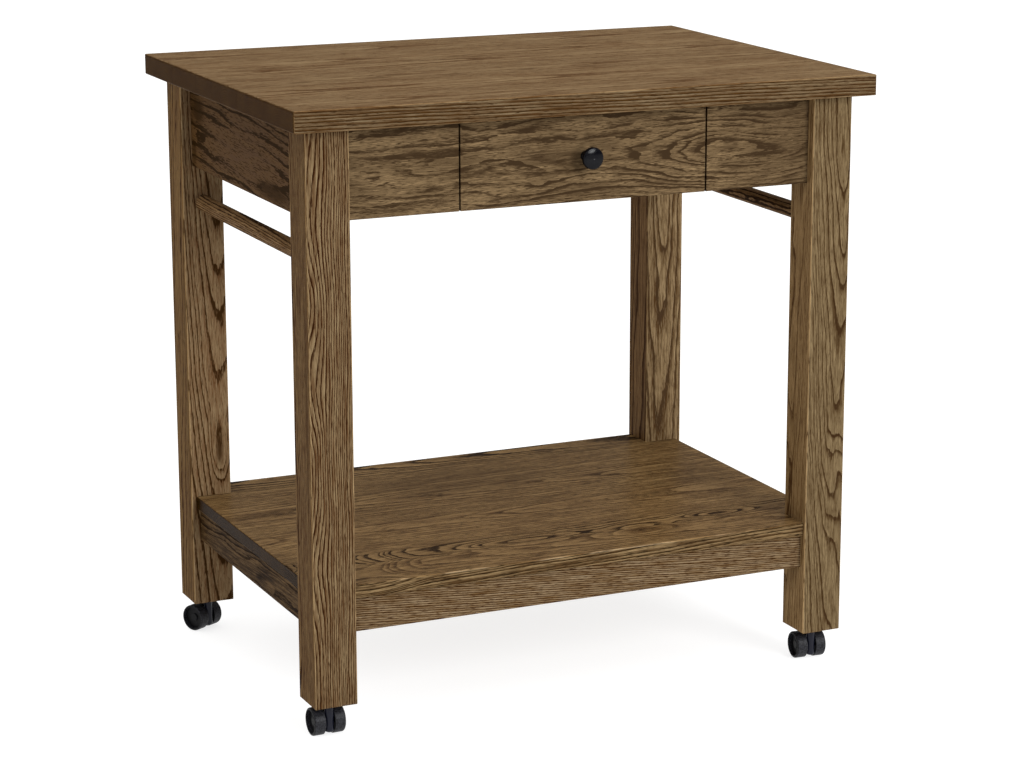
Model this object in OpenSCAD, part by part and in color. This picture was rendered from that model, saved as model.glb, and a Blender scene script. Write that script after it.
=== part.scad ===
// Rolling serving cart in stained oak. An edge-glued worktop stands on four square legs; the middle
// of the front apron is a drawer, a towel bar runs below each side apron, and a shelf lies on four
// rails above twin-wheel casters. Millimetres: the floor is z = 0, the cart's middle is x = y = 0
// and the drawer faces -Y.

/* [Worktop] */
// Width of the worktop, left to right
top_w = 914; // [800:1:1200]
// Depth of the worktop, front to back
top_d = 660; // [600:1:800]
// Thickness of the worktop
top_t = 31.5; // [24:0.5:45]
// Height of the worktop's upper face above the floor
top_h = 919; // [800:1:1000]
// Radius of the worktop's eased edges
top_ease = 3; // [1:0.5:8]
// How far the worktop stands out past the legs at each side
overhang_side = 25; // [5:1:50]
// How far the worktop stands out past the legs at front and back
overhang_front = 27.5; // [5:0.5:50]

/* [Legs] */
// Side of a leg's square section
leg_w = 65; // [56:1:80]
// Radius of a leg's eased arrises
leg_ease = 2.5; // [0.5:0.5:5]
// Height of the legs' feet above the floor
foot_h = 53.5; // [50:0.5:70]

/* [Aprons] */
// Height of the aprons and of the drawer's front with its upper gap
apron_h = 132; // [120:1:170]
// Thickness of the aprons
apron_t = 20; // [16:0.5:24]
// Distance from a leg's outer face back to the apron's face
apron_setback = 16.5; // [6:0.5:20]
// Radius of the eased edges of aprons, rails and drawer front
rail_ease = 1; // [0.5:0.25:2]

/* [Joinery] */
// Thickness of every tenon
tenon_t = 8; // [6:0.5:10]
// Length of every tenon
tenon_l = 25; // [15:1:27]
// Wood left above and below a tenon
tenon_shoulder = 8; // [5:0.5:15]
// Glue line round a tenon or dovetail
glue_gap = 0.1; // [0.05:0.01:0.2]
// Room left past the end of a tenon, screw, bolt or pin
end_gap = 0.5; // [0.2:0.1:1]
// Depth of the rabbets and dadoes that hold the drawer's dividers
dado_depth = 6; // [3:0.5:9]

/* [Corner blocks] */
// Height of a corner block
block_h = 32; // [24:1:45]
// Thickness of a corner block across the corner
block_t = 28; // [20:1:36]
// Radius of the bolt from a corner block into the leg
bolt_r = 3; // [2:0.25:4]
// Length of that bolt inside the leg
bolt_bite = 22; // [12:1:24]

/* [Screws] */
// Radius of a wood screw's shank
screw_r = 2; // [1.5:0.1:2.5]
// Radius of a wood screw's head
screw_head_r = 4; // [3.5:0.1:4.5]
// Height of a wood screw's head
screw_head_h = 2.6; // [1.5:0.1:3]
// Length of a screw inside the piece that it holds
screw_bite = 13; // [8:0.5:14]
// Distance between the two screws in a corner block
block_screw_spacing = 56; // [40:1:64]

/* [Drawer] */
// Width of the drawer's front
drawer_w = 389; // [320:1:460]
// Gap at each end of the drawer's front
drawer_gap = 2.5; // [1:0.5:4]
// Gap between the drawer's front and the worktop
drawer_top_gap = 2.5; // [1:0.5:4]
// Depth of the drawer's box, from the back of its front
box_d = 430; // [405:1:445]
// Height of the drawer's box
box_h = 92; // [80:1:100]
// Height of the box's lower edge above the apron's lower edge
box_lift = 16.5; // [10:0.5:20]
// Thickness of the box's sides, inner front and back
box_t = 12; // [10:0.5:15]
// Thickness of the drawer's bottom
bottom_t = 6; // [4:0.5:8]
// Height of the drawer's bottom above the box's lower edge
bottom_lift = 8; // [6:0.5:12]
// Depth of the grooves that hold the drawer's bottom
groove_depth = 6; // [3:0.5:7]
// Number of tails at a corner of the box
tails = 4; // [2:1:6]
// Part of the dovetails' pitch that a pin fills at its narrow face
pin_share = 0.22; // [0.15:0.01:0.35]
// Widening of a pin at each flank through the board
pin_flare = 2; // [1:0.1:2.5]

/* [Slides] */
// Length of a drawer slide's members
slide_l = 400; // [390:1:400]
// Height of a slide's outer member
slide_h = 45; // [40:1:50]
// Space that a slide fills between divider and box
slide_w = 13; // [12:0.1:15]
// Thickness of a slide's steel
slide_t = 1.4; // [1:0.1:1.8]
// Clearance between two members of a slide
slide_clear = 0.4; // [0.3:0.05:0.5]
// Distance of a slide's front end behind the drawer's front
slide_back = 4; // [2:0.5:8]
// Thickness of a drawer divider
divider_t = 19; // [15:0.5:24]
// Height of a divider's lower edge above the apron's lower edge
divider_lift = 6; // [3:0.5:12]

/* [Knob] */
// Diameter of the knob's head
knob_d = 32; // [26:0.5:40]
// How far the knob stands out from the drawer's front
knob_l = 30; // [28:0.5:34]
// Height of the knob's head, dome and rim
knob_head = 7.5; // [6:0.5:9]
// Radius of the knob's neck at its thinnest
knob_neck_r = 5.2; // [4.5:0.1:7]
// Radius of the knob's foot
knob_foot_r = 7.5; // [7:0.1:9]
// Radius of the dome on the knob's face
knob_dome_r = 70; // [30:1:80]

/* [Towel bars] */
// Diameter of a towel bar
bar_d = 25; // [18:0.5:30]
// Distance from the aprons' lower edge down to a towel bar's middle
bar_drop = 58.5; // [45:0.5:90]
// Depth of the bar's blind hole in a leg
bar_depth = 15; // [8:1:20]
// Clearance of a pressed or glued round piece in its hole
bar_fit = 0.05; // [0.03:0.01:0.2]

/* [Shelf] */
// Height of the shelf's upper face above the floor
shelf_h = 230.5; // [200:0.5:300]
// Thickness of the shelf
shelf_t = 20.5; // [18:0.5:28]
// Radius of the shelf's eased edges
shelf_ease = 2; // [1:0.5:4]
// Distance from a leg's outer face in to the shelf's end
shelf_setback_side = 8.5; // [2:0.5:12]
// Distance from a leg's outer face in to the shelf's front edge
shelf_setback_front = 6; // [2:0.5:12]
// Clearance between the shelf's notches and the legs
notch_gap = 0.4; // [0.2:0.1:1]
// Height of the shelf's rails
rail_h = 51.5; // [45:0.5:70]
// Thickness of the shelf's rails
rail_t = 20; // [16:0.5:24]
// Distance from a leg's outer face back to a rail's face
rail_setback = 13.5; // [13:0.5:16]
// Depth of the counterbores for the screws that hold the shelf
counterbore = 28; // [20:1:35]

/* [Casters] */
// Diameter of a caster's wheels
wheel_d = 41.5; // [36:0.5:42]
// Width of one wheel
wheel_w = 17; // [15:0.5:19]
// Space between the two wheels of a caster
wheel_space = 14; // [13:0.5:18]
// Distance from the stem's axis back to the axle
trail = 13; // [11:0.5:15]
// Radius of the rounding at a wheel's outer edge
wheel_ease = 2.5; // [1:0.5:4]
// Thickness of a wheel's rim round its recesses
rim_t = 3.25; // [2.5:0.25:6]
// Depth of the recess in a wheel's outer face
recess_depth = 6; // [4:0.5:7]
// Depth of the recess in a wheel's inner face
inner_depth = 6; // [3:0.5:7]
// Radius of a wheel's hub
hub_r = 6; // [5:0.25:8]
// Height of the hub above the floor of the outer recess
hub_rise = 2; // [1:0.5:3]
// Radius of a caster's axle
axle_r = 2.5; // [2:0.1:3]
// Radius of a caster's stem
stem_r = 4; // [3:0.25:4.5]
// Length of a stem inside the leg
stem_bite = 38; // [25:1:45]
// Radial clearance of a turning shaft in its bore
run_fit = 0.07; // [0.03:0.01:0.1]
// Side clearance between a wheel and the housing
wheel_clear = 0.4; // [0.3:0.1:0.8]
// Side clearance between a wheel and the housing's barrel round the stem
barrel_clear = 0.5; // [0.4:0.1:1]
// Thickness of the housing's web between the wheels
web_t = 10; // [8:0.5:12]
// Wall thickness of the socket sleeve in the leg
sleeve_t = 1.4; // [1:0.1:2]
// Thickness of the sleeve's flange
flange_t = 1.5; // [1:0.1:2.5]
// Length of stem that shows between flange and housing
stem_show = 5; // [3:0.5:7]
// Turn of each caster on its stem: front left, front right, rear left, rear right
caster_turns = [1, -5, 29, 14]; // [-180:1:180]

/* [Hidden] */
$fn = 64;
OVERLAP = 1;
OAK = "#7a5f42";
OAK_DARK = "#5f4930";
BOX_WOOD = "#c9a878";
STEEL = "#b9bcc0";
BLACK_IRON = "#1c1c1f";
BLACK_NYLON = "#202124";

// name, side (-1 left, 1 right), end (-1 front, 1 rear)
CORNERS = [["front_left", -1, -1], ["front_right", 1, -1], ["rear_left", -1, 1], ["rear_right", 1, 1]];
CASTER_PIECES = ["stem", "housing", "axle", "wheel_left", "wheel_right"];

// Legs
leg_x = top_w / 2 - overhang_side - leg_w / 2;
leg_y = top_d / 2 - overhang_front - leg_w / 2;
leg_in_x = leg_x - leg_w / 2;
leg_in_y = leg_y - leg_w / 2;
leg_out_x = leg_x + leg_w / 2;
leg_out_y = leg_y + leg_w / 2;
under_top = top_h - top_t;
leg_l = under_top - foot_h;

// Aprons: middle planes and inner faces
apron_z = under_top - apron_h;
apron_mid = apron_setback + apron_t / 2;
apron_in = apron_setback + apron_t;
apron_back_y = leg_out_y - apron_in;
apron_tenon_h = apron_h - 2 * tenon_shoulder;
bar_h = apron_z - bar_drop;

// Shelf and rails
rail_z = shelf_h - shelf_t - rail_h;
rail_mid = rail_setback + rail_t / 2;
rail_tenon_h = rail_h - 2 * tenon_shoulder;

// Corner blocks, measured from the leg's middle along the diagonal towards the cart's middle
block_z = under_top - block_h;
arris_reach = (leg_w / 2 - leg_ease) * sqrt(2) + leg_ease;
block_reach = arris_reach + glue_gap;
block_mid = block_reach + block_t / 2;
block_screw_l = block_h + screw_bite;

// Drawer: half width of its bay, and the box
bay_x = drawer_w / 2 + drawer_gap;
box_x = bay_x - slide_w;
box_front_y = -apron_back_y;
box_back_y = box_front_y + box_d;
box_z = apron_z + box_lift;
bottom_z = box_z + bottom_lift;
slide_z = box_z + box_h / 2;
slide_front_y = box_front_y + slide_back;
drawer_front_y = box_front_y - apron_t;
drawer_front_h = apron_h - drawer_top_gap;
knob_z = apron_z + apron_h / 2;
knob_screw_l = box_t + apron_t + screw_bite;
drawer_screw_l = box_t + screw_bite;

// Casters
wheel_r = wheel_d / 2;
recess_r = wheel_r - rim_t;
barrel_r = wheel_space / 2 - barrel_clear;
axle_half = wheel_space / 2 + wheel_w - recess_depth - 1;
housing_top = foot_h - flange_t - stem_show;
housing_foot = 7;
sleeve_r = stem_r + run_fit + sleeve_t;
socket_l = stem_bite + 2;

// ---- Shapes that repeat ----

// Outline of a board's section with its four corners rounded
module eased_outline(width, height, r) {
    square([width - 2 * r, height], center = true);
    square([width, height - 2 * r], center = true);
    for (x = [-1, 1], y = [-1, 1])
        translate([x * (width / 2 - r), y * (height / 2 - r)])
            circle(r = r);
}

// Board between two opposite corners with all its edges rounded
module eased_board(low, high, r) {
    size = high - low;
    translate((low + high) / 2)
        intersection() {
            linear_extrude(size.z, center = true)
                eased_outline(size.x, size.y, r);
            rotate([90, 0, 0])
                linear_extrude(size.y, center = true)
                    eased_outline(size.x, size.z, r);
            rotate([90, 0, 90])
                linear_extrude(size.x, center = true)
                    eased_outline(size.y, size.z, r);
        }
}

// Rail along X, centred, with its four long edges rounded
module eased_rail(length, height, thickness) {
    rotate([90, 0, 90])
        linear_extrude(length, center = true)
            eased_outline(thickness, height, rail_ease);
}

// Tenon at the end of a rail, growing along +X from its shoulder
module tenon(height) {
    translate([-OVERLAP, -tenon_t / 2, -height / 2])
        cube([tenon_l + OVERLAP, tenon_t, height]);
}

// Rail along X with a tenon at each end
module tenoned_rail(length, height, thickness, tenon_h) {
    eased_rail(length, height, thickness);
    for (end = [0, 1])
        mirror([end, 0, 0])
            translate([length / 2, 0, 0])
                tenon(tenon_h);
}

// Puts a piece drawn round a leg's middle, inner faces towards +X and +Y, at one corner
module at_corner(c) {
    translate([c[1] * leg_x, c[2] * leg_y, 0])
        mirror([c[1] > 0 ? 1 : 0, 0, 0])
            mirror([0, c[2] > 0 ? 1 : 0, 0])
                children();
}

// Puts a piece drawn for the left side on one side
module at_side(side) {
    mirror([side > 0 ? 1 : 0, 0, 0])
        children();
}

// Pan-head screw, head below z = 0 and shank upwards
module screw(length) {
    cylinder(h = length, r = screw_r);
    translate([0, 0, -screw_head_h])
        cylinder(h = screw_head_h, r1 = screw_head_r - 0.8, r2 = screw_head_r);
}

// Hole for a screw's shank, upwards from z = 0
module shank_hole(length) {
    translate([0, 0, -OVERLAP])
        cylinder(h = length + OVERLAP, r = screw_r + glue_gap);
}

// ---- Worktop, legs and aprons ----

// Places of the screws through a corner block, round the leg's middle
module at_block_screws() {
    rotate([0, 0, 45])
        for (side = [-1, 1])
            translate([block_mid, side * block_screw_spacing / 2, block_z])
                children();
}

module worktop() {
    color(OAK)
        difference() {
            eased_board([-top_w / 2, -top_d / 2, under_top], [top_w / 2, top_d / 2, top_h], top_ease);
            for (c = CORNERS)
                at_corner(c)
                    at_block_screws()
                        shank_hole(block_screw_l + end_gap);
        }
}

// Two mortises at one height, for the tenons of the rails that meet in a leg
module leg_mortises(middle, z, height) {
    mouth_t = tenon_t + 2 * glue_gap;
    mouth_h = height + 2 * glue_gap;
    for (turned = [0, 1])
        mirror([turned, -turned, 0])
            translate([leg_w / 2 - tenon_l - end_gap, middle - (leg_w + mouth_t) / 2, z - mouth_h / 2])
                cube([tenon_l + end_gap + OVERLAP, mouth_t, mouth_h]);
}

module leg() {
    color(OAK)
        difference() {
            eased_board(
                [-leg_w / 2, -leg_w / 2, foot_h],
                [leg_w / 2, leg_w / 2, under_top + leg_ease],
                leg_ease
            );
            translate([-leg_w, -leg_w, under_top])
                cube([2 * leg_w, 2 * leg_w, 2 * leg_ease]);
            leg_mortises(apron_mid, apron_z + apron_h / 2, apron_tenon_h);
            leg_mortises(rail_mid, rail_z + rail_h / 2, rail_tenon_h);
            translate([0, leg_w / 2 + OVERLAP, bar_h])
                rotate([90, 0, 0])
                    cylinder(h = bar_depth + end_gap + OVERLAP, r = bar_d / 2 + bar_fit);
            translate([0, 0, foot_h - OVERLAP])
                cylinder(h = socket_l + end_gap + OVERLAP, r = sleeve_r + bar_fit);
            rotate([0, 0, 45])
                translate([arris_reach - bolt_bite - end_gap, 0, block_z + block_h / 2])
                    rotate([0, 90, 0])
                        cylinder(h = bolt_bite + end_gap + OVERLAP, r = bolt_r + glue_gap);
        }
}

// Room for a drawer divider's ends, in the rear apron's dado and the front panels' rabbet
module divider_space() {
    half_l = apron_back_y + dado_depth + glue_gap;
    translate([-bay_x - divider_t - glue_gap, -half_l, apron_z + divider_lift - glue_gap])
        cube([divider_t + 2 * glue_gap, 2 * half_l, apron_h]);
}

module front_panel() {
    panel_l = leg_in_x - bay_x;
    color(OAK)
        difference() {
            translate([-leg_in_x + panel_l / 2, -leg_out_y + apron_mid, apron_z + apron_h / 2]) {
                eased_rail(panel_l, apron_h, apron_t);
                translate([-panel_l / 2, 0, 0])
                    mirror([1, 0, 0])
                        tenon(apron_tenon_h);
            }
            divider_space();
        }
}

module rear_apron() {
    color(OAK)
        difference() {
            translate([0, leg_out_y - apron_mid, apron_z + apron_h / 2])
                tenoned_rail(2 * leg_in_x, apron_h, apron_t, apron_tenon_h);
            for (side = [-1, 1])
                at_side(side)
                    divider_space();
        }
}

module side_apron() {
    color(OAK_DARK)
        translate([-leg_out_x + apron_mid, 0, apron_z + apron_h / 2])
            rotate([0, 0, 90])
                tenoned_rail(2 * leg_in_y, apron_h, apron_t, apron_tenon_h);
}

module drawer_divider() {
    half_l = apron_back_y + dado_depth;
    color(BOX_WOOD)
        translate([-bay_x - divider_t, -half_l, apron_z + divider_lift])
            cube([divider_t, 2 * half_l, apron_h - divider_lift]);
}

module corner_block() {
    foot = apron_in - leg_w / 2;
    near = block_reach * sqrt(2) - foot;
    far = near + block_t * sqrt(2);
    difference() {
        translate([0, 0, block_z])
            linear_extrude(block_h)
                polygon([[near, foot], [far, foot], [foot, far], [foot, near]]);
        rotate([0, 0, 45])
            translate([block_reach - OVERLAP, 0, block_z + block_h / 2])
                rotate([0, 90, 0])
                    cylinder(h = block_t + 2 * OVERLAP, r = bolt_r + glue_gap);
        at_block_screws()
            shank_hole(block_h + OVERLAP);
    }
}

module corner_blocks() {
    color(BOX_WOOD)
        for (c = CORNERS)
            at_corner(c)
                corner_block();
}

module corner_bolts() {
    color(STEEL)
        for (c = CORNERS)
            at_corner(c)
                rotate([0, 0, 45])
                    translate([block_reach + block_t, 0, block_z + block_h / 2])
                        rotate([0, 90, 0]) {
                            cylinder(h = bolt_r * 1.3, r = bolt_r * 1.85, $fn = 6);
                            translate([0, 0, -block_t - glue_gap - bolt_bite])
                                cylinder(h = block_t + glue_gap + bolt_bite + OVERLAP, r = bolt_r);
                        }
}

module top_screws() {
    color(STEEL)
        for (c = CORNERS)
            at_corner(c)
                at_block_screws()
                    screw(block_screw_l);
}

module towel_bar() {
    color(OAK)
        translate([-leg_x, leg_in_y + bar_depth, bar_h])
            rotate([90, 0, 0])
                cylinder(h = 2 * (leg_in_y + bar_depth), r = bar_d / 2);
}

// ---- Shelf ----

// Places of the six screws that hold the shelf, on the rails' middle planes
module at_shelf_screws() {
    for (x = [-1, 1], y = [-1, 1])
        translate([x * leg_in_x * 0.55, y * (leg_out_y - rail_mid), rail_z + counterbore])
            children();
    for (x = [-1, 1])
        translate([x * (leg_out_x - rail_mid), 0, rail_z + counterbore])
            children();
}

module shelf_board() {
    half = [leg_out_x - shelf_setback_side, leg_out_y - shelf_setback_front];
    color(OAK_DARK)
        difference() {
            eased_board([-half.x, -half.y, shelf_h - shelf_t], [half.x, half.y, shelf_h], shelf_ease);
            for (c = CORNERS)
                at_corner(c)
                    translate([-leg_w, -leg_w, shelf_h - shelf_t - OVERLAP])
                        cube([leg_w * 1.5 + notch_gap, leg_w * 1.5 + notch_gap, shelf_t + 2 * OVERLAP]);
            at_shelf_screws()
                shank_hole(rail_h - counterbore + screw_bite + end_gap);
        }
}

module shelf_rail(length, tenon_plane, turned) {
    color(OAK_DARK)
        difference() {
            rotate([0, 0, turned ? 90 : 0])
                translate([0, tenon_plane, rail_z + rail_h / 2])
                    tenoned_rail(length, rail_h, rail_t, rail_tenon_h);
            at_shelf_screws() {
                shank_hole(rail_h);
                translate([0, 0, -counterbore - OVERLAP])
                    cylinder(h = counterbore + OVERLAP, r = screw_head_r + 0.6);
            }
        }
}

module shelf_screws() {
    color(STEEL)
        at_shelf_screws()
            screw(rail_h - counterbore + screw_bite);
}

// ---- Drawer ----

// C-shaped member of a slide for the left side: web at x = 0, flanges towards +X
module channel(height, depth) {
    rotate([90, 0, 0])
        linear_extrude(slide_l)
            difference() {
                translate([0, -height / 2])
                    square([depth, height]);
                translate([slide_t, -height / 2 + slide_t])
                    square([depth, height - 2 * slide_t]);
            }
}

module slide_outer() {
    color(STEEL)
        translate([-bay_x, slide_front_y + slide_l, slide_z])
            channel(slide_h, slide_w - 2.5);
}

module slide_middle() {
    web = slide_t + slide_clear;
    color(STEEL)
        translate([-bay_x + web, slide_front_y + slide_l, slide_z])
            channel(slide_h - 2 * web, slide_w - slide_t - slide_clear - web);
}

module slide_inner() {
    web = slide_t + slide_clear;
    color(STEEL)
        translate([-box_x, slide_front_y + slide_l, slide_z])
            mirror([1, 0, 0])
                channel(slide_h - 4 * web, slide_w - 2 * web);
}

module drawer_front() {
    color(OAK)
        difference() {
            eased_board(
                [-drawer_w / 2, drawer_front_y, apron_z],
                [drawer_w / 2, box_front_y, apron_z + drawer_front_h],
                rail_ease
            );
            translate([0, 0, knob_z])
                rotate([90, 0, 0])
                    cylinder(h = apron_back_y + apron_t + OVERLAP, r = screw_r + glue_gap);
            at_drawer_screws()
                shank_hole(drawer_screw_l + end_gap);
        }
}

// Places of the four screws between the box and the drawer's front, pointing to -Y
module at_drawer_screws() {
    for (x = [-1, 1], z = [0.3, 0.82])
        translate([x * box_x * 0.72, box_front_y + box_t, box_z + z * box_h])
            rotate([90, 0, 0])
                children();
}

// Pins of a dovetailed corner, across the side's thickness, narrow at y = 0 and wide at y = box_t
module pins(base, gap) {
    pitch = box_h / tails;
    narrow = pitch * pin_share + gap;
    wide = narrow + pin_flare;
    intersection() {
        for (i = [0 : tails])
            translate([-box_x - gap, 0, box_z + i * pitch])
                rotate([90, 0, 90])
                    linear_extrude(box_t + gap + OVERLAP)
                        polygon([[-gap, -narrow], [box_t, -wide], [box_t, wide], [-gap, narrow]]);
        translate([-box_x - OVERLAP, -OVERLAP, base - gap])
            cube([box_t + 2 * OVERLAP, box_t + OVERLAP, box_z + box_h - base + 2 * gap]);
    }
}

// Room for the drawer's bottom in its grooves
module bottom_space() {
    reach = box_x - box_t + groove_depth + glue_gap;
    translate([-reach, box_front_y + box_t - groove_depth - glue_gap, bottom_z - glue_gap])
        cube([2 * reach, box_d, bottom_t + 2 * glue_gap]);
}

module box_side() {
    back_base = bottom_z + bottom_t + glue_gap;
    color(BOX_WOOD)
        difference() {
            translate([-box_x, box_front_y, box_z])
                cube([box_t, box_d, box_h]);
            translate([0, box_front_y, 0])
                pins(box_z, glue_gap);
            translate([0, box_back_y, 0])
                mirror([0, 1, 0])
                    pins(back_base, glue_gap);
            bottom_space();
        }
}

module box_front() {
    inner = box_x - box_t;
    color(BOX_WOOD)
        difference() {
            union() {
                translate([-inner, box_front_y, box_z])
                    cube([2 * inner, box_t, box_h]);
                for (side = [-1, 1])
                    at_side(side)
                        translate([0, box_front_y, 0])
                            pins(box_z, 0);
            }
            bottom_space();
            translate([0, 0, knob_z])
                rotate([90, 0, 0])
                    cylinder(h = apron_back_y + OVERLAP, r = screw_r + glue_gap);
            at_drawer_screws()
                shank_hole(drawer_screw_l);
        }
}

module box_back() {
    inner = box_x - box_t;
    base = bottom_z + bottom_t + glue_gap;
    color(BOX_WOOD) {
        translate([-inner, box_back_y - box_t, base])
            cube([2 * inner, box_t, box_z + box_h - base]);
        for (side = [-1, 1])
            at_side(side)
                translate([0, box_back_y, 0])
                    mirror([0, 1, 0])
                        pins(base, 0);
    }
}

module drawer_bottom() {
    reach = box_x - box_t + groove_depth;
    front = box_front_y + box_t - groove_depth;
    color(BOX_WOOD)
        translate([-reach, front, bottom_z])
            cube([2 * reach, box_back_y - front, bottom_t]);
}

module drawer_screws() {
    color(STEEL)
        at_drawer_screws()
            screw(drawer_screw_l);
}

// Half of the knob's section: x is the radius and y the distance from the drawer's front
module knob_section() {
    rim_y = knob_l - knob_head;
    rim_r = 0.4 * knob_head;
    hollow_r = rim_y / 2;
    difference() {
        union() {
            square([knob_foot_r, rim_y / 2]);
            translate([0, rim_y / 2])
                square([knob_d / 2, rim_y / 2 + 1]);
        }
        translate([knob_neck_r + hollow_r, hollow_r])
            circle(r = hollow_r);
    }
    intersection() {
        translate([0, rim_y])
            square([knob_d / 2, knob_head]);
        translate([0, knob_l - knob_dome_r])
            circle(r = knob_dome_r, $fn = 128);
        union() {
            translate([0, rim_y])
                square([knob_d / 2 - rim_r, knob_head]);
            translate([knob_d / 2 - rim_r, rim_y + rim_r])
                circle(r = rim_r);
        }
    }
}

module drawer_knob() {
    color(BLACK_IRON)
        translate([0, drawer_front_y, knob_z])
            rotate([90, 0, 0])
                difference() {
                    rotate_extrude()
                        knob_section();
                    shank_hole(screw_bite + end_gap);
                }
}

module knob_screw() {
    color(STEEL)
        translate([0, box_front_y + box_t, knob_z])
            rotate([90, 0, 0])
                screw(knob_screw_l);
}

// ---- Casters, drawn with the stem on the Z axis and the wheels behind it at +Y ----

module at_caster(i) {
    translate([CORNERS[i][1] * leg_x, CORNERS[i][2] * leg_y, 0])
        rotate([0, 0, caster_turns[i]])
            children();
}

module caster_sockets() {
    color(STEEL)
        for (i = [0 : 3])
            at_caster(i)
                difference() {
                    union() {
                        translate([0, 0, foot_h - flange_t])
                            cylinder(h = flange_t, r = sleeve_r + 4);
                        translate([0, 0, foot_h - flange_t])
                            cylinder(h = flange_t + socket_l, r = sleeve_r);
                    }
                    translate([0, 0, foot_h - flange_t - OVERLAP])
                        cylinder(h = socket_l + flange_t + 2 * OVERLAP, r = stem_r + run_fit);
                }
}

// Steel pin with a thrust washer under the socket and a snap ring near its upper end
module caster_stem() {
    color(STEEL)
        rotate_extrude()
            polygon([
                [0, wheel_r],
                [stem_r, wheel_r],
                [stem_r, housing_top],
                [stem_r + 2.5, housing_top],
                [stem_r + 2.5, housing_top + 1.2],
                [stem_r, housing_top + 1.2],
                [stem_r, foot_h + stem_bite - 7],
                [stem_r - 0.7, foot_h + stem_bite - 6.5],
                [stem_r - 0.7, foot_h + stem_bite - 4.5],
                [stem_r, foot_h + stem_bite - 4],
                [stem_r, foot_h + stem_bite - 1],
                [stem_r - 1, foot_h + stem_bite],
                [0, foot_h + stem_bite]
            ]);
}

// Barrel round the stem, a web back to the axle and a boss at each side of it
module caster_housing() {
    web_r = wheel_r - 4;
    shoulder_z = wheel_r + web_r * 0.55;
    color(BLACK_NYLON)
        difference() {
            union() {
                rotate_extrude()
                    polygon([
                        [0, housing_foot],
                        [barrel_r - 1.5, housing_foot],
                        [barrel_r, housing_foot + 1.5],
                        [barrel_r, housing_top - 1],
                        [barrel_r - 1, housing_top],
                        [0, housing_top]
                    ]);
                rotate([90, 0, 90])
                    linear_extrude(web_t, center = true)
                        union() {
                            translate([trail, wheel_r])
                                circle(r = web_r);
                            polygon([
                                [0, housing_foot + 1.5],
                                [trail, wheel_r - web_r],
                                [trail + web_r * 0.6, wheel_r + web_r * 0.8],
                                [barrel_r * 0.7, housing_top - 1],
                                [0, housing_top - 1]
                            ]);
                        }
                translate([0, trail, wheel_r])
                    rotate([0, 90, 0])
                        cylinder(h = wheel_space - 2 * wheel_clear, r = hub_r, center = true);
            }
            translate([0, 0, wheel_r - glue_gap])
                cylinder(h = housing_top, r = stem_r + bar_fit);
            translate([0, trail, wheel_r])
                rotate([0, 90, 0])
                    cylinder(h = wheel_space + 2 * OVERLAP, r = axle_r + bar_fit, center = true);
        }
}

module caster_axle() {
    color(STEEL)
        translate([0, trail, wheel_r])
            rotate([0, 90, 0])
                cylinder(h = 2 * axle_half, r = axle_r, center = true);
}

// Wheel with a rounded outer edge, a recess round the hub in each face and a blind bore from inside
module caster_wheel() {
    hole = axle_half - wheel_space / 2 + end_gap;
    color(BLACK_NYLON)
        translate([wheel_space / 2, trail, wheel_r])
            rotate([0, 90, 0])
                rotate_extrude()
                    difference() {
                        union() {
                            square([wheel_r - wheel_ease, wheel_w]);
                            translate([0, 1])
                                square([wheel_r, wheel_w - wheel_ease - 1]);
                            square([wheel_r - 1, wheel_w - wheel_ease]);
                            translate([wheel_r - 1, 1])
                                circle(r = 1);
                            translate([wheel_r - wheel_ease, wheel_w - wheel_ease])
                                circle(r = wheel_ease);
                        }
                        translate([0, wheel_w - recess_depth + hub_rise])
                            square([recess_r, recess_depth]);
                        translate([hub_r, wheel_w - recess_depth])
                            square([recess_r - hub_r, recess_depth]);
                        translate([hub_r, -OVERLAP])
                            square([recess_r - hub_r, inner_depth + OVERLAP]);
                        translate([0, -OVERLAP])
                            square([axle_r + run_fit, hole + OVERLAP]);
                    }
}

// ---- Drawing ----

worktop();
for (c = CORNERS)
    at_corner(c) leg();
at_side(-1) front_panel();  // front_panel_left
at_side(1) front_panel();  // front_panel_right
rear_apron();
at_side(-1) side_apron();  // side_apron_left
at_side(1) side_apron();  // side_apron_right
at_side(-1) drawer_divider();  // drawer_divider_left
at_side(1) drawer_divider();  // drawer_divider_right
corner_blocks();
corner_bolts();
top_screws();
at_side(-1) towel_bar();  // towel_bar_left
at_side(1) towel_bar();  // towel_bar_right
shelf_board();
shelf_rail(2 * leg_in_x, -leg_out_y + rail_mid, false);  // shelf_rail_front
shelf_rail(2 * leg_in_x, leg_out_y - rail_mid, false);  // shelf_rail_rear
shelf_rail(2 * leg_in_y, leg_out_x - rail_mid, true);  // shelf_rail_left
shelf_rail(2 * leg_in_y, -leg_out_x + rail_mid, true);  // shelf_rail_right
shelf_screws();
caster_sockets();
at_side(-1) slide_outer();  // slide_outer_left
at_side(1) slide_outer();  // slide_outer_right
at_side(-1) slide_middle();  // slide_middle_left
at_side(1) slide_middle();  // slide_middle_right
at_side(-1) slide_inner();  // slide_inner_left
at_side(1) slide_inner();  // slide_inner_right
drawer_front();
box_front();
box_back();
at_side(-1) box_side();  // box_side_left
at_side(1) box_side();  // box_side_right
drawer_bottom();
drawer_screws();
drawer_knob();
knob_screw();
for (i = [0 : 3]) {
    prefix = str("caster_", CORNERS[i][0], "_");
    at_caster(i) caster_stem();
    at_caster(i) caster_housing();
    at_caster(i) caster_axle();
    at_caster(i) mirror([1, 0, 0]) caster_wheel();
    at_caster(i) caster_wheel();
}
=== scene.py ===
"""Rolling serving cart in dark-stained red oak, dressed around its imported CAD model. Metres."""

import math

import bpy
from mathutils import Matrix, Vector

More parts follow.
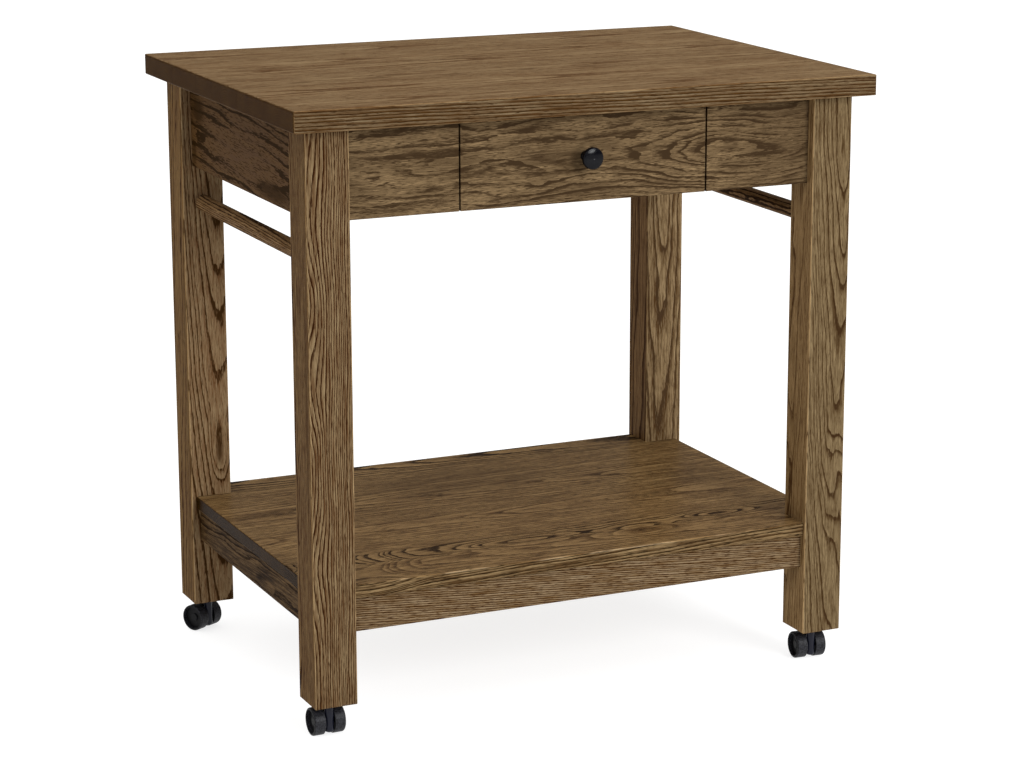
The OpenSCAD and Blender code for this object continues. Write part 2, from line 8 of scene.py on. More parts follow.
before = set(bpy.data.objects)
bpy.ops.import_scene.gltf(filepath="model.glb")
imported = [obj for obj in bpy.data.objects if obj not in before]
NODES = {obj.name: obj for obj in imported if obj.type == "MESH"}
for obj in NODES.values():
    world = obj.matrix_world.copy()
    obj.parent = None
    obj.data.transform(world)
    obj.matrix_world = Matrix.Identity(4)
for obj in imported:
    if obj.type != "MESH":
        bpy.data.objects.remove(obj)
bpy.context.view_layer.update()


# ---- Camera: a long lens a little above the worktop, in front of the left corner ----
# The frame is 1024 x 768 pixels. The lens is shifted a little sideways, as the picture's perspective asks:
# its axis meets the picture in column 614.9.
FRAME_WIDTH = 1024
AXIS_COLUMN = 614.9
FOCAL_PIXELS = 2951.16
SENSOR = 36.0
CAMERA_PLACE = (-1.81455, -4.05275, 1.50944)
yaw, pitch, roll = (math.radians(a) for a in (26.327, -13.762, 0.337))
forward = Vector((math.sin(yaw) * math.cos(pitch), math.cos(yaw) * math.cos(pitch), math.sin(pitch)))
level = Vector((math.cos(yaw), -math.sin(yaw), 0.0))
upright = level.cross(forward)
right = level * math.cos(roll) + upright * math.sin(roll)
up = upright * math.cos(roll) - level * math.sin(roll)
lens = bpy.data.cameras.new("camera")
lens.sensor_width = SENSOR
lens.lens = FOCAL_PIXELS * SENSOR / FRAME_WIDTH
lens.shift_x = (FRAME_WIDTH / 2 - AXIS_COLUMN) / FRAME_WIDTH
lens.clip_end = 100
camera = bpy.data.objects.new("camera", lens)
turn = Matrix((right, up, -forward)).transposed()
camera.matrix_world = Matrix.Translation(CAMERA_PLACE) @ turn.to_4x4()
bpy.context.collection.objects.link(camera)
bpy.context.scene.camera = camera


# ---- Studio: white paper floor and far white walls under soft white light ----
# A big soft lamp stands high on the right in front, a weaker one on the left. The paper glows a little, so
# that it stays white from every side, and the sky is white above and dim near the ground.
def srgb(code):
    """Linear colour of an sRGB hex value, with full alpha."""
    parts = [int(code[i : i + 2], 16) / 255 for i in (1, 3, 5)]
    return [c / 12.92 if c <= 0.04045 else ((c + 0.055) / 1.055) ** 2.4 for c in parts] + [1.0]


def add(tree, kind, inputs=None, out=0, **settings):
    """Adds a shader node with its settings, sets or links its inputs, and returns one output.

    Inputs go by name or number. A Map Range's are its value (0), low and high (1, 2), and what those turn
    to (3, 4).
    """
    made = tree.nodes.new("ShaderNode" + kind)
    for name, value in settings.items():
        setattr(made, name, value)
    for name, value in (inputs or {}).items():
        if isinstance(value, bpy.types.NodeSocket):
            tree.links.new(value, made.inputs[name])
        else:
            made.inputs[name].default_value = value
    return made.outputs[out]


def surface(name):
    """New material, with its node tree and its Principled BSDF."""
    made = bpy.data.materials.new(name)
    made.use_nodes = True
    return made, made.node_tree, made.node_tree.nodes["Principled BSDF"]


def white_card(name, low, high, glow):
    """Matt white card, mottled between two close tones, that gives off some light of its own."""
    material, tree, shader = surface(name)
    fibres = add(tree, "TexNoise", {"Scale": 3.0, "Detail": 2.0})
    pulp = add(tree, "Mix", {"Factor": fibres, "A": srgb(low), "B": srgb(high)}, "Result", data_type="RGBA")
    tree.links.new(pulp, shader.inputs["Base Color"])
    shader.inputs["Roughness"].default_value = 0.9
    shader.inputs["Specular IOR Level"].default_value = 0.0
    shader.inputs["Emission Color"].default_value = (1, 1, 1, 1)
    shader.inputs["Emission Strength"].default_value = glow
    return material


def screen(name, corners, faces, material):
    """Plain flat faces in one material."""
    mesh = bpy.data.meshes.new(name)
    mesh.from_pydata(corners, [], faces)
    mesh.materials.append(material)
    made = bpy.data.objects.new(name, mesh)
    bpy.context.collection.objects.link(made)
    return made


def softbox(name, place, target, size, watts):
    """Round soft lamp at a place, turned to its target."""
    light = bpy.data.lights.new(name, "AREA")
    light.shape, light.size, light.energy = "DISK", size, watts
    lamp = bpy.data.objects.new(name, light)
    lamp.location = place
    lamp.rotation_euler = (Vector(target) - Vector(place)).to_track_quat("-Z", "Y").to_euler()
    bpy.context.collection.objects.link(lamp)


bpy.context.scene.view_settings.view_transform = "Standard"
world = bpy.data.worlds.new("white studio")
world.use_nodes = True
sky = world.node_tree
height = add(sky, "SeparateXYZ", {0: add(sky, "TexCoord", out="Generated")}, "Z")
glow = add(sky, "MapRange", {0: height, 1: 0.05, 2: 0.75, 3: 0.12, 4: 1.4}, interpolation_type="SMOOTHSTEP")
sky.links.new(glow, sky.nodes["Background"].inputs["Strength"])
sky.nodes["Background"].inputs["Color"].default_value = (1.0, 1.0, 1.0, 1.0)
bpy.context.scene.world = world

# Metres from the cart to each wall, and the walls' height
HALL = 36
WALL = 30
around = [(-HALL, -HALL), (HALL, -HALL), (HALL, HALL), (-HALL, HALL)]
paper = white_card("white background paper", "#9c9c9c", "#a2a2a2", 0.78)
floor = screen("floor", [(x, y, 0) for x, y in around], [(0, 1, 2, 3)], paper)

# The walls show in low views only. They throw no light on the cart, and don't show in its gloss
chalk = white_card("white wall", "#f6f6f6", "#fafafa", 1.0)
chalk.cycles.emission_sampling = "NONE"
walls = screen("walls", [(x, y, z) for z in (0, WALL) for x, y in around],
               [(i, (i + 1) % 4, (i + 1) % 4 + 4, i + 4) for i in range(4)], chalk)
walls.visible_diffuse = walls.visible_glossy = walls.visible_shadow = False

softbox("key softbox", (1.3, -4.4, 2.2), (0, 0, 0.5), 2.2, 200)
softbox("fill softbox", (-4.2, -1.0, 1.6), (0, 0, 0.5), 2.2, 22)


# ---- Legs: four solid oak posts, 65 mm square, mortised for aprons and rails ----
# Planed, sanded, stained brown and lacquered satin. The grain runs up each post. The stain collects in the
# open pores of each year's early wood: fine lines where years stand square to a face, flames elsewhere.
MM = 0.001


def wear(pieces, material):
    """Gives CAD pieces one material."""
    for piece in pieces:
        mesh = NODES[piece].data
        mesh.materials.clear()
        mesh.materials.append(material)


def oak(name, grain, pith, ring, light="#7f6748", deep="#5f4a31", pore="#3d2917", width=0.35, solid=0.32,
        haze=0.0, clump=0.0, speckle=(0.52, 0.79), pit=(13, 1.1), swing=(4, 260, 50), wobble=0.8, uneven=2.2,
        broken=0.0, mottle=0.5, figure=(), bold=(), planks=(), sawn=None, post=None, rims=(), gloss=0.5,
        ends="#bcb4aa"):
    """Stained oak from one log. Lengths are in mm, in the cart's frame.

    The log: grain is the way its fibres run, and pith a point of its middle line. Its years are ring wide,
    and uneven tells how they differ in breadth. swing is how far they wander, over what length and width,
    and wobble how far they waver.
    The pores: width is the part of a year that is porous, pit how long and wide a pore is, and speckle
    where single pores start and end to show. solid tells how far they join to a line, haze how far they
    spread beyond it, clump how far they follow the fibre, and broken how far the lines break up.
    The wood between is light and deep, and mottle tells how blotchy it is. ends tints end grain.
    figure holds swirls, knots and patches of painted shade: centre, radii, push of the years, darkness. bold
    holds places where the lines are more solid, some of them painted shade: centre, radii, how much more.
    planks holds glue lines: place along Y, and the next plank's shift of log, tone and solid.
    sawn tells how faces square to an axis differ: the axis, how much of the lines goes, and a tint that is
    partly the stain's own and partly painted shade.
    post is the middle (in metres) of a post whose arrises are worn pale and carry a painted highlight. rims
    holds other arrises with a painted highlight: a point, and its reach along each axis. gloss is the
    roughness between the pores.
    """
    material, tree, shader = surface(name)
    place = point = add(tree, "TexCoord", out="Object")
    normal = add(tree, "TexCoord", out="Normal")

    def sums(first, *pairs, clamp=False):
        """first + a * b for each pair."""
        for a, b in pairs:
            first = add(tree, "Math", {0: a, 1: b, 2: first}, operation="MULTIPLY_ADD", use_clamp=clamp)
        return first

    def reach(centre, radii):
        """Distance from a centre in units of the radii."""
        away = add(tree, "VectorMath", {0: place, 1: [c * MM for c in centre]}, operation="SUBTRACT")
        away = add(tree, "VectorMath", {0: away, 1: [1 / (r * MM) for r in radii]}, operation="MULTIPLY")
        return add(tree, "VectorMath", {0: away}, "Value", operation="LENGTH")

    def square_to(axis, lean):
        """1 on faces square to an axis, falling to 0 where they lean from it."""
        facing = add(tree, "VectorMath", {0: normal, 1: axis}, "Value", operation="DOT_PRODUCT")
        facing = add(tree, "Math", {0: facing}, operation="ABSOLUTE")
        return add(tree, "MapRange", {0: facing, 1: lean, 2: 0.95}, interpolation_type="SMOOTHSTEP")

    # Panels of planks: beyond each glue line the wood comes from elsewhere in a log
    tone, glue = 1.0, 0.0
    for seam, shift, plank_tone, more in planks:
        across = add(tree, "SeparateXYZ", {0: place}, "Y")
        side = add(tree, "Math", {0: across, 1: seam * MM}, operation="GREATER_THAN")
        move = add(tree, "VectorMath", {0: [c * MM for c in shift], "Scale": side}, operation="SCALE")
        point = add(tree, "VectorMath", {0: point, 1: move}, operation="ADD")
        tone = sums(tone, (side, plank_tone))
        solid = sums(solid, (side, more))
        gap = add(tree, "Math", {0: across, 1: seam * MM}, operation="SUBTRACT")
        gap = add(tree, "Math", {0: gap}, operation="ABSOLUTE")
        line = add(tree, "MapRange", {0: gap, 1: 0.3 * MM, 2: 1.1 * MM, 3: 0.55, 4: 0.0},
                   interpolation_type="SMOOTHSTEP")
        glue = add(tree, "Math", {0: line, 1: glue}, operation="MAXIMUM")
    for centre, radii, more in bold:
        near = add(tree, "MapRange", {0: reach(centre, radii), 1: 0.3, 3: 1.0, 4: 0.0},
                   interpolation_type="SMOOTHSTEP")
        solid = sums(solid, (near, more))

    # From here on in millimetres of the log: X runs along its grain, and its pith is at Y = Z = 0
    turn = Vector(grain).normalized().to_track_quat("X", "Z" if abs(grain[2]) < 0.5 else "Y").to_euler()
    log = add(tree, "Mapping", {"Vector": point, "Location": [c * MM for c in pith], "Rotation": turn,
                                "Scale": (MM, MM, MM)}, vector_type="TEXTURE")

    def fleck(along, wide, detail=2.0, rough=0.5):
        """Noise drawn out along the grain, with one feature in that many mm along and across."""
        drawn = add(tree, "VectorMath", {0: log, 1: (1 / along, 1 / wide, 1 / wide)}, operation="MULTIPLY")
        return add(tree, "TexNoise", {"Vector": drawn, "Scale": 1.0, "Detail": detail, "Roughness": rough})

    # Years: distance from the pith, bent by slow swings of the trunk, fine wobble and the figure
    cross = add(tree, "VectorMath", {0: log, 1: (0, 1, 1)}, operation="MULTIPLY")
    depth = add(tree, "VectorMath", {0: cross}, "Value", operation="LENGTH")
    depth = sums(depth, (fleck(swing[1], swing[2], 1.5), 4 * swing[0]), (fleck(26, 6), 2 * wobble))
    spots = [(reach(centre, radii), push, fill) for centre, radii, push, fill in figure]
    for distance, push, _ in spots:
        near = add(tree, "MapRange", {0: distance, 3: 1.0, 4: 0.0}, interpolation_type="SMOOTHSTEP")
        depth = sums(depth, (near, push))
    drift = add(tree, "TexNoise", {"W": sums(0.0, (depth, 0.31 / ring)), "Scale": 1.0, "Detail": 1.0},
                noise_dimensions="1D")
    years = sums(0.0, (depth, 1 / ring), (drift, uneven))
    part = add(tree, "Math", {0: years}, operation="FRACT")
    year = add(tree, "Math", {0: years}, operation="FLOOR")
    vigour = add(tree, "TexWhiteNoise", {"W": year}, "Value", noise_dimensions="1D")
    vigour = add(tree, "MapRange", {0: vigour, 3: 0.6}, interpolation_type="SMOOTHSTEP")
    if broken:
        whole = add(tree, "MapRange", {0: fleck(80, 15), 1: 0.4, 2: 0.58, 3: 1 - broken},
                    interpolation_type="SMOOTHSTEP")
        vigour = sums(0.0, (vigour, whole))

    # Each year's porous band, and a wider halo round it. Both start sharply and fade out
    start = add(tree, "MapRange", {0: part, 1: 0.93}, interpolation_type="SMOOTHSTEP")
    rows = []
    for full, gone in ((0.3, 1.0), (0.2, 2.2)):
        row = add(tree, "MapRange", {0: part, 1: full * width, 2: gone * width, 3: 1.0, 4: 0.0},
                  interpolation_type="SMOOTHSTEP")
        row = add(tree, "Math", {0: row, 1: start}, operation="MAXIMUM")
        rows.append(sums(0.0, (row, vigour)))
    if sawn is not None:
        flat = square_to(sawn[0], 0.7)
        rows = [sums(row, (sums(0.0, (row, flat)), -sawn[1])) for row in rows]
    band, halo = rows

    # Pores: dashes along the grain, drawn about three times as wide as real ones so that they show
    pores = fleck(*pit, 2.0, 0.55)
    fibre = fleck(50, 2.0, 3.0, 0.7)
    grown = sums(pores, (band, solid), (halo, haze), (fibre, clump))
    dark = add(tree, "MapRange", {0: grown, 1: speckle[0], 2: speckle[1]}, interpolation_type="SMOOTHSTEP")
    # Dark patches of the figure: knots, and patches of painted shade
    for distance, _, fill in spots:
        if fill:
            ragged = sums(distance, (pores, -0.5))
            core = add(tree, "MapRange", {0: ragged, 1: -0.05, 2: 0.35, 3: fill, 4: 0.0},
                       interpolation_type="SMOOTHSTEP")
            dark = add(tree, "Math", {0: dark, 1: core}, operation="MAXIMUM")
    if planks:
        dark = add(tree, "Math", {0: dark, 1: glue}, operation="MAXIMUM")

    # Wood between the pores: fine fibre streaks, slow blotches, and a darker start of each year
    pale = sums(-0.9 - 0.5 * mottle, (fibre, 3.0), (fleck(110, 24), mottle), (halo, -0.5), clamp=True)
    wood = add(tree, "Mix", {"Factor": pale, "A": srgb(deep), "B": srgb(light)}, "Result", data_type="RGBA")

    # Arrises drawn pale: the four of a post, worn and with a painted highlight, and those named in rims, a
    # painted highlight
    rubbed = []
    if post is not None:
        sides = add(tree, "VectorMath", {0: place, 1: (*post, 0)}, operation="SUBTRACT")
        sides = add(tree, "VectorMath", {0: sides}, operation="ABSOLUTE")
        least = add(tree, "Math", {0: add(tree, "SeparateXYZ", {0: sides}, "X"),
                                   1: add(tree, "SeparateXYZ", {0: sides}, "Y")}, operation="MINIMUM")
        arris = add(tree, "MapRange", {0: least, 1: 29.6 * MM, 2: 31.2 * MM, 4: 0.32},
                    interpolation_type="SMOOTHSTEP")
        rubbed.append((arris, "#a98f68", 0.8))
    # Rims: a painted highlight along an arris, broken up by noise
    for centre, radii in rims:
        rub_and_highlight = add(tree, "MapRange", {0: reach(centre, radii), 1: 0.5, 3: 0.45, 4: 0.0},
                  interpolation_type="SMOOTHSTEP")
        wisp = add(tree, "MapRange", {0: fleck(60, 12), 1: 0.4, 2: 0.62}, interpolation_type="SMOOTHSTEP")
        rubbed.append((sums(0.0, (rub_and_highlight, wisp)), "#b59c78", 0.9))
    # Each lays a pale colour along its arris, which is wear and painted highlight on a post and painted
    # highlight on a rim
    for rub_and_highlight, bare, lost in rubbed:
        wood = add(tree, "Mix", {"Factor": rub_and_highlight, "A": wood, "B": srgb(bare)}, "Result", data_type="RGBA")
        dark = sums(dark, (sums(0.0, (dark, rub_and_highlight)), -lost))

    # Stain in the pores, a tint on sawn faces that is partly stain and partly painted shade, and more stain
    # on end grain
    colour = add(tree, "Mix", {"Factor": dark, "A": wood, "B": srgb(pore)}, "Result", data_type="RGBA")
    stain_and_painted_shade_tints = [(square_to(Vector(grain).normalized(), 0.5), ends)]
    if sawn is not None:
        stain_and_painted_shade_tints.append((flat, sawn[2]))
    for where, tint in stain_and_painted_shade_tints:
        colour = add(tree, "Mix", {"Factor": where, "A": colour, "B": srgb(tint)}, "Result", data_type="RGBA",
                     blend_type="MULTIPLY")
    if planks:
        colour = add(tree, "VectorMath", {0: colour, "Scale": tone}, operation="SCALE")
    tree.links.new(colour, shader.inputs["Base Color"])

    # Satin lacquer, thin enough that the pores stay open
    rough = add(tree, "MapRange", {0: dark, 3: gloss, 4: gloss + 0.15}, interpolation_type="SMOOTHSTEP")
    tree.links.new(rough, shader.inputs["Roughness"])
    shader.inputs["Specular IOR Level"].default_value = 0.01
    bump = add(tree, "Bump", {"Height": dark, "Strength": 0.35, "Distance": 0.2 * MM}, invert=True)
    tree.links.new(bump, shader.inputs["Normal"])
    return material


# Middle of the right rear leg in metres
LEG_X = 0.3995
LEG_Y = 0.27
# The sawn tints darken one pair of each post's faces against the other pair: partly stain, partly painted
# shade
wear(["leg_front_left"],
     oak("stained oak post front left", (0.004, 0, 1), (-462, -240, 400), 2.5, light="#77654a",
         deep="#48311c", pore="#261204", width=0.42, solid=0.4, swing=(2.5, 190, 45), wobble=0.4, uneven=0.8,
         figure=[((-440, -302, 800), (50, 60, 200), 9, 0), ((-440, -302, 545), (46, 60, 130), 9, 0),
                 ((-440, -302, 250), (46, 60, 160), 8, 0), ((-432, -291, 480), (3, 8, 450), 0, 0.5)],
         sawn=((1, 0, 0), 0.15, "#f8ead2"), post=(-LEG_X, -LEG_Y)))
wear(["leg_front_right"],
     oak("stained oak post front right", (-0.01, -0.05, 1), (419, -252, 470), 3.4, light="#8e734e",
         deep="#563e23", pore="#3f2813", width=0.18, solid=0.24, pit=(11, 0.9), swing=(3.4, 210, 36),
         wobble=0.6, figure=[((425, -302, 905), (80, 40, 130), 6, 0)], sawn=((0, 1, 0), -0.55, "#c9d3e1"),
         post=(LEG_X, -LEG_Y)))
wear(["leg_rear_left"],
     oak("stained oak post rear left", (0.0, -0.06, 1), (-381, 277, 500), 4.8, light="#7b674c",
         deep="#583e27", pore="#2e1c09", width=0.3, solid=0.36, swing=(2, 240, 40),
         figure=[((-384, 237, 312), (22, 30, 80), -8, 0), ((-384, 237, 306), (13, 24, 62), 0, 0.8)],
         sawn=((1, 0, 0), 0.15, "#e0d1ac"), post=(-LEG_X, LEG_Y)))
wear(["leg_rear_right"],
     oak("stained oak post rear right", (0.0, -0.05, 1), (394.5, 258, 500), 6.5, light="#8a7556",
         deep="#422c15", pore="#3e2d1c", swing=(3, 170, 30), sawn=((1, 0, 0), -0.1, "#e0cdb9"),
         post=(LEG_X, LEG_Y)))


# ---- Front of the cart: one oak board cut into left panel, drawer front and right panel ----
# The grain runs on across the two cuts. Its years lie nearly flat, so the pores make broad broken patches,
# with chevrons right of the knob and a swirl in the right panel.
# The board's face along Y, and a reach without an end, both in mm
FRONT = -286
ENDLESS = 9999
front_swirls = [((250, FRONT, 812), (215, 80, 66), -38, 0), ((300, FRONT, 850), (110, 80, 50), 14, 0),
                ((40, FRONT, 742), (170, 80, 62), 22, 0)]
# Dark patches of the board, and in the last two painted shade that darkens the right panel, most at its top
# under the worktop
front_dark_patches_and_painted_shade = [((-44, FRONT, 822), (190, 40, 26), 0, 0.5), ((38, FRONT, 834), (52, 40, 24), 0, 0.5),
                 ((88, FRONT, 826), (40, 40, 16), 0, 0.5), ((0, FRONT, 768), (150, 40, 34), 0, 0.3),
                 ((-222, FRONT, 823), (150, 40, 30), 0, 0.3), ((-318, FRONT, 824), (110, 40, 22), 0, 0.25),
                 ((237, FRONT, 824), (36, 40, 34), 0, 0.45), ((245, FRONT, 792), (90, 40, 22), 0, 0.45),
                 ((350, FRONT, 825), (260, 90, 280), 0, 0.42), ((340, FRONT, 872), (230, 40, 46), 0, 0.5)]
# The last entry crowds the lines in the strip along the top edge under the worktop: painted shade
front_lines_and_painted_shade = [((135, FRONT, 815), (100, 40, 80), 0.45), ((-100, FRONT, 805), (140, 40, 90), 0.28),
               ((60, FRONT, 775), (190, 40, 34), 0.25), ((290, FRONT, 815), (130, 40, 80), 0.2),
               ((0, FRONT, 888), (ENDLESS, 40, 26), 0.3)]
wear(["front_panel_left", "drawer_front", "front_panel_right"],
     oak("stained oak front board", (1, -0.02, 0.0), (0, -241, 825), 9.0, light="#735f44", deep="#322415",
         pore="#312416", width=0.32, solid=0.04, haze=0.16, clump=0.22, speckle=(0.597, 0.776),
         pit=(12, 0.74), swing=(6, 120, 22), wobble=2.8, uneven=2.0, broken=0.8, mottle=1.0,
         figure=front_swirls + front_dark_patches_and_painted_shade, bold=front_lines_and_painted_shade))


# ---- Side and rear aprons: flat-sawn oak boards tenoned into the legs ----
# The side boards are darker, with flowing lines round a plain patch. The rear board is plainer.
# The left board's face along X in mm
SIDE = -448
wear(["side_apron_left", "side_apron_right"],
     oak("stained oak side apron", (0, 1, 0.05), (-471, 0, 797), 9.5, light="#4f381e", deep="#47321f",
         pore="#251706", width=0.3, solid=0.3, haze=0.06, clump=0.14, speckle=(0.58, 0.76),
         swing=(4.5, 150, 30), wobble=1.2, uneven=0.0, mottle=0.9,
         figure=[((SIDE, 203, 845), (ENDLESS, 70, 50), 0, 0.8),
                 ((SIDE, -125, 773), (ENDLESS, 170, 32), 0, 0.75),
                 ((SIDE, 224, 780), (ENDLESS, 22, 46), 0, 0.6)],
         bold=[((SIDE, -5, 806), (ENDLESS, 190, 52), -0.42)]))
wear(["rear_apron"],
     oak("stained oak rear apron", (1, 0.02, 0.01), (60, 250, 815), 4.5, width=0.45, swing=(5, 240, 34)))


# ---- Worktop: six oak planks glued edge to edge, 31.5 mm thick, with eased edges ----
# Sawn flat: small dark flames in rows along two of the planks, fine lines along the front edge. Screws
# through the corner blocks hold it.
# Height of its face in mm
TOP = 919
top_planks = [(-212, (170, -118, 9), 0.03, 0), (-98, (-320, -108, -14), -0.04, 0),
              (12, (260, -114, 12), 0.03, 0), (84, (-190, -70, -10), 0.03, 0.05),
              (196, (330, -115, 6), -0.03, -0.05)]
top_marks = [(-337, 93), (-209, 96), (-113, 92), (-1, 95), (-30, 108), (-350, -71), (-233, -68),
             (-113, -72), (7, -70), (103, -73), (-380, 108), (-20, 193), (210, 196)]
# The sawn tint darkens the front and back edges: partly stain, partly painted shade
wear(["worktop"],
     oak("stained oak worktop", (1, 0.004, -0.01), (0, -275, 846), 3.4, light="#846e4f", deep="#503418",
         pore="#38230f", width=0.36, solid=0.14, speckle=(0.53, 0.76), swing=(1.1, 300, 40), wobble=0.3,
         uneven=0.7, mottle=0.7, planks=top_planks,
         figure=[((x, y, TOP), (46, 9, 14), 0, 0.6) for x, y in top_marks],
         sawn=((0, 1, 0), -0.9, "#c9ced6"), ends="#877551"))


# ---- Shelf: a panel of oak planks notched round the legs, on four rails tenoned into them ----
# Its planks are plain but for one narrow strip near the front, with arrow-shaped swirls. Screws hold it from
# below, up through the rails, and a stretch of its front arris has a painted highlight.
# Height of its face in mm
SHELF = 230
# Beyond the third glue line the tone falls by 0.08, which darkens the back of the shelf: painted shade
shelf_planks = [(-210, (210, -56, 8), 0.0, 0.24), (-163, (-280, -134, -12), 0.0, -0.24),
                (-23, (190, -140, 9), -0.08, 0.02), (226, (-170, -190, -6), 0.0, 0.24)]
shelf_swirls = [((-335, -186, SHELF), (115, 200, 40), 24, 0), ((-60, -199, SHELF), (165, 38, 40), -15, 0),
                ((125, -214, SHELF), (110, 46, 40), -13, 0), ((275, -190, SHELF), (95, 34, 40), -14, 0)]
shelf_shadow = [((-10, 150, SHELF), (430, 200, 60), 0, 0.3)]
# The rims entry paints a highlight along a stretch of the front arris
wear(["shelf_board"],
     oak("stained oak shelf", (1, -0.01, 0.02), (0, -240, 160), 4.0, light="#8e724b", deep="#483119",
         pore="#221609", width=0.4, solid=0.13, speckle=(0.495, 0.77), swing=(2.5, 280, 44), wobble=0.6,
         mottle=0.7, planks=shelf_planks, figure=shelf_swirls + shelf_shadow,
         sawn=((0, 1, 0), -0.8, "#e3ecfc"), rims=[((-60, -296, SHELF), (420, 2.0, 2.0))], gloss=0.3,
         ends="#685930"))
wear(["shelf_rail_front"],
     oak("stained oak front rail", (1, 0, -0.08), (0, -289, 60), 3.3, light="#7f6e56", deep="#50391d",
         pore="#2a1404", width=0.42, solid=0.3, speckle=(0.5, 0.72), swing=(1.5, 260, 60), wobble=0.3,
         uneven=0.8))
wear(["shelf_rail_rear"],
     oak("stained oak rear rail", (1, 0, 0.04), (0, 289, 60), 3.4, width=0.45, swing=(3, 300, 40)))
wear(["shelf_rail_left", "shelf_rail_right"],
     oak("stained oak side rail", (0, 1, -0.04), (-462, 0, 180), 4.8, light="#5a452c", deep="#1a0d03",
         pore="#1a0f05", width=0.45, solid=0.3, swing=(4, 170, 30), mottle=0.8))


# ---- Towel bars: turned oak dowels, 25 mm thick, glued into blind holes in the legs ----
# A dowel cuts through many years, which run along it as long lines.
wear(["towel_bar_left", "towel_bar_right"],
     oak("stained oak towel bar", (0, 1, 0.01), (-399.5, 0, 640), 3.4, light="#7b6143", deep="#52391f",
         pore="#26170a", width=0.4, solid=0.42, swing=(2, 300, 40)))


# ---- Inside: bare poplar dividers and corner blocks, and a clear-lacquered maple drawer box ----
# Pale woods with closed pores: hardly any lines, and a fine even fibre. The box is dovetailed, and its bottom
# slides in grooves.
def pale_wood(name, grain, pith, light, deep, pore):
    """Closed-grained wood, planed and clear or bare."""
    return oak(name, grain, pith, 4.5, light=light, deep=deep, pore=pore, width=0.5, solid=0.1, mottle=0.6,
               ends="#e6e0d8")


poplar = ("#bfa277", "#a98a5e", "#8a6a42")
maple = ("#d9bd90", "#c8a877", "#a98455")
wear(["drawer_divider_left", "drawer_divider_right"],
     pale_wood("planed poplar dividers", (0, 1, 0.01), (-150, 0, 700), *poplar))
wear(["corner_blocks"],
     pale_wood("planed poplar corner blocks", (1, 1, 0.01), (0, 0, 700), *poplar))
wear(["box_front", "box_back", "drawer_bottom"],
     pale_wood("lacquered maple across", (1, 0, 0.01), (0, 0, 650), *maple))
wear(["box_side_left", "box_side_right"],
     pale_wood("lacquered maple sides", (0, 1, 0.01), (0, 0, 650), *maple))


# ---- Fasteners and slides: zinc-plated steel ----
# Screws, bolts and sleeves are turned, then plated: bright grey with a faint cloud, drawn 1.1 mm wide so that
# it shows. The slides are rolled from strip, which leaves fine lines from front to back.
def metal(name, tint, rough, streak, scratch=0.06):
    """Plated steel with fine lines. streak is how many there are in a metre along each axis."""
    material, tree, shader = surface(name)
    place = add(tree, "TexCoord", out="Object")
    scaled = add(tree, "VectorMath", {0: place, 1: streak}, operation="MULTIPLY")
    grain = add(tree, "TexNoise", {"Vector": scaled, "Scale": 1.0, "Detail": 3.0})
    shade = add(tree, "MapRange", {0: grain, 1: 0.3, 2: 0.7, 3: 0.85, 4: 1.1})
    colour = add(tree, "VectorMath", {0: srgb(tint)[:3], "Scale": shade}, operation="SCALE")
    tree.links.new(colour, shader.inputs["Base Color"])
    shader.inputs["Metallic"].default_value = 1.0
    rough = add(tree, "MapRange", {0: grain, 1: 0.3, 2: 0.7, 3: rough - scratch, 4: rough + scratch})
    tree.links.new(rough, shader.inputs["Roughness"])
    return material


wear(["corner_bolts", "top_screws", "shelf_screws", "drawer_screws", "knob_screw", "caster_sockets"],
     metal("bright zinc plate", "#b9bcbf", 0.32, (900, 900, 900)))
wear([n for n in NODES if n.startswith("slide_")],
     metal("rolled slide steel", "#c4c7ca", 0.3, (1500, 12, 1500)))


# ---- Knob: cast, turned and sprayed gloss black, on a screw through the drawer front ----
# The coat is deep black and shines, with a spray gun's faint orange peel, 1.4 mm from bump to bump.
gloss_black, tree, shader = surface("gloss black lacquer")
peel = add(tree, "TexNoise", {"Vector": add(tree, "TexCoord", out="Object"), "Scale": 700.0, "Detail": 2.0})
colour = add(tree, "Mix", {"Factor": peel, "A": srgb("#040406"), "B": srgb("#08080d")}, "Result",
             data_type="RGBA")
tree.links.new(colour, shader.inputs["Base Color"])
rough = add(tree, "MapRange", {0: peel, 3: 0.1, 4: 0.16})
tree.links.new(rough, shader.inputs["Roughness"])
bump = add(tree, "Bump", {"Height": peel, "Strength": 0.08, "Distance": 0.1 * MM})
tree.links.new(bump, shader.inputs["Normal"])
shader.inputs["Specular IOR Level"].default_value = 0.12
wear(["drawer_knob"], gloss_black)


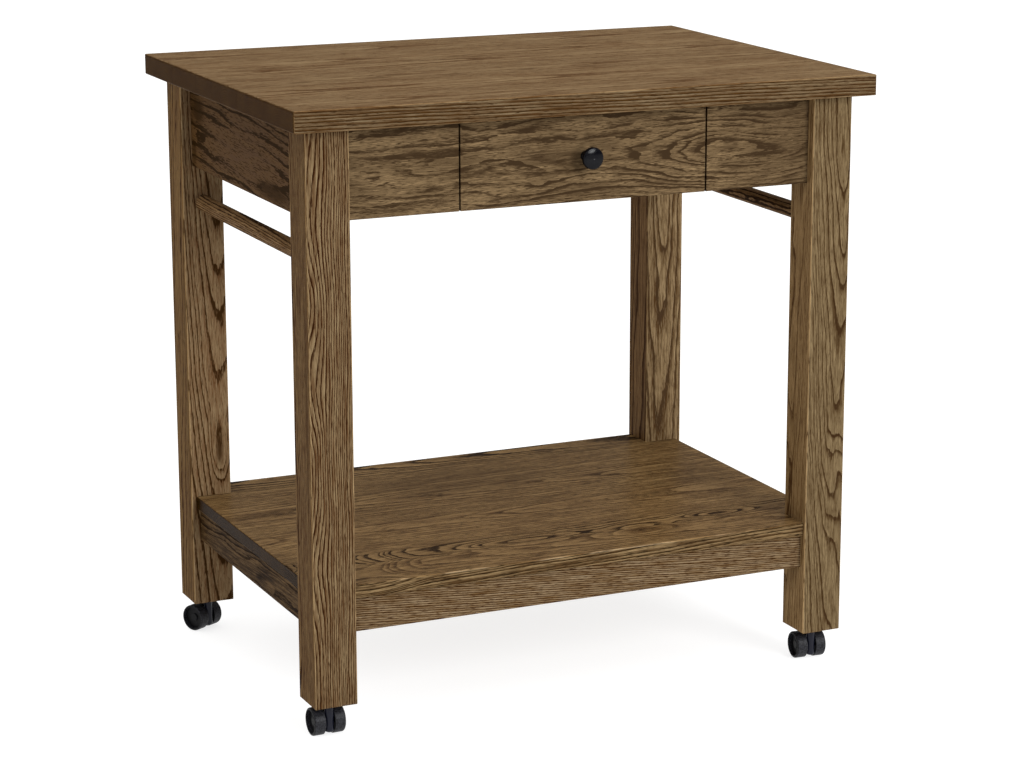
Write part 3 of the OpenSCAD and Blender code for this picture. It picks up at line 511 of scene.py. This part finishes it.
# ---- Casters: black nylon housing and twin wheels on a plated steel stem and axle ----
# The stem turns in a steel socket in the leg. Moulding leaves a faint grain, drawn 0.8 mm wide so that it
# shows. The wheels' treads are rubbed greyer, in scuffs 2 mm wide, and their dished faces are painted near
# black: painted shade in the recess.
nylon, tree, shader = surface("black moulded nylon")
grain = add(tree, "TexNoise", {"Vector": add(tree, "TexCoord", out="Object"), "Scale": 1200.0, "Detail": 2.0})
colour = add(tree, "Mix", {"Factor": grain, "A": srgb("#0a0a11"), "B": srgb("#141624")}, "Result",
             data_type="RGBA")
tree.links.new(colour, shader.inputs["Base Color"])
shader.inputs["Roughness"].default_value = 0.2
shader.inputs["Specular IOR Level"].default_value = 0.2
bump = add(tree, "Bump", {"Height": grain, "Strength": 0.15, "Distance": 0.1 * MM})
tree.links.new(bump, shader.inputs["Normal"])
wear([n for n in NODES if n.endswith("_housing")], nylon)
wear([n for n in NODES if n.endswith(("_stem", "_axle"))],
     metal("plated stem steel", "#c9ccd0", 0.25, (300, 300, 40)))

# A dished face looks along the axle, and a tread away from it, which tells the two apart
tread, tree, shader = surface("scuffed nylon wheel")
grain = add(tree, "TexNoise", {"Vector": add(tree, "TexCoord", out="Object"), "Scale": 500.0, "Detail": 4.0})
scuffs = add(tree, "MapRange", {0: grain, 1: 0.4, 2: 0.62})
rubbed = add(tree, "Mix", {"Factor": scuffs, "A": srgb("#0c0c0e"), "B": srgb("#2c2c31")}, "Result",
             data_type="RGBA")
across = add(tree, "SeparateXYZ", {0: add(tree, "TexCoord", out="Normal")}, "X")
across = add(tree, "Math", {0: across}, operation="ABSOLUTE")
recess_painted_shade = add(tree, "MapRange", {0: across, 1: 0.6, 2: 0.85})
# Dished faces near black: painted shade in their recess
colour = add(tree, "Mix", {"Factor": recess_painted_shade, "A": rubbed, "B": srgb("#070708")}, "Result", data_type="RGBA")
tree.links.new(colour, shader.inputs["Base Color"])
shader.inputs["Roughness"].default_value = 0.5
shader.inputs["Specular IOR Level"].default_value = 0.15
bump = add(tree, "Bump", {"Height": grain, "Strength": 0.2, "Distance": 0.1 * MM})
tree.links.new(bump, shader.inputs["Normal"])
wear([n for n in NODES if "_wheel_" in n], tread)
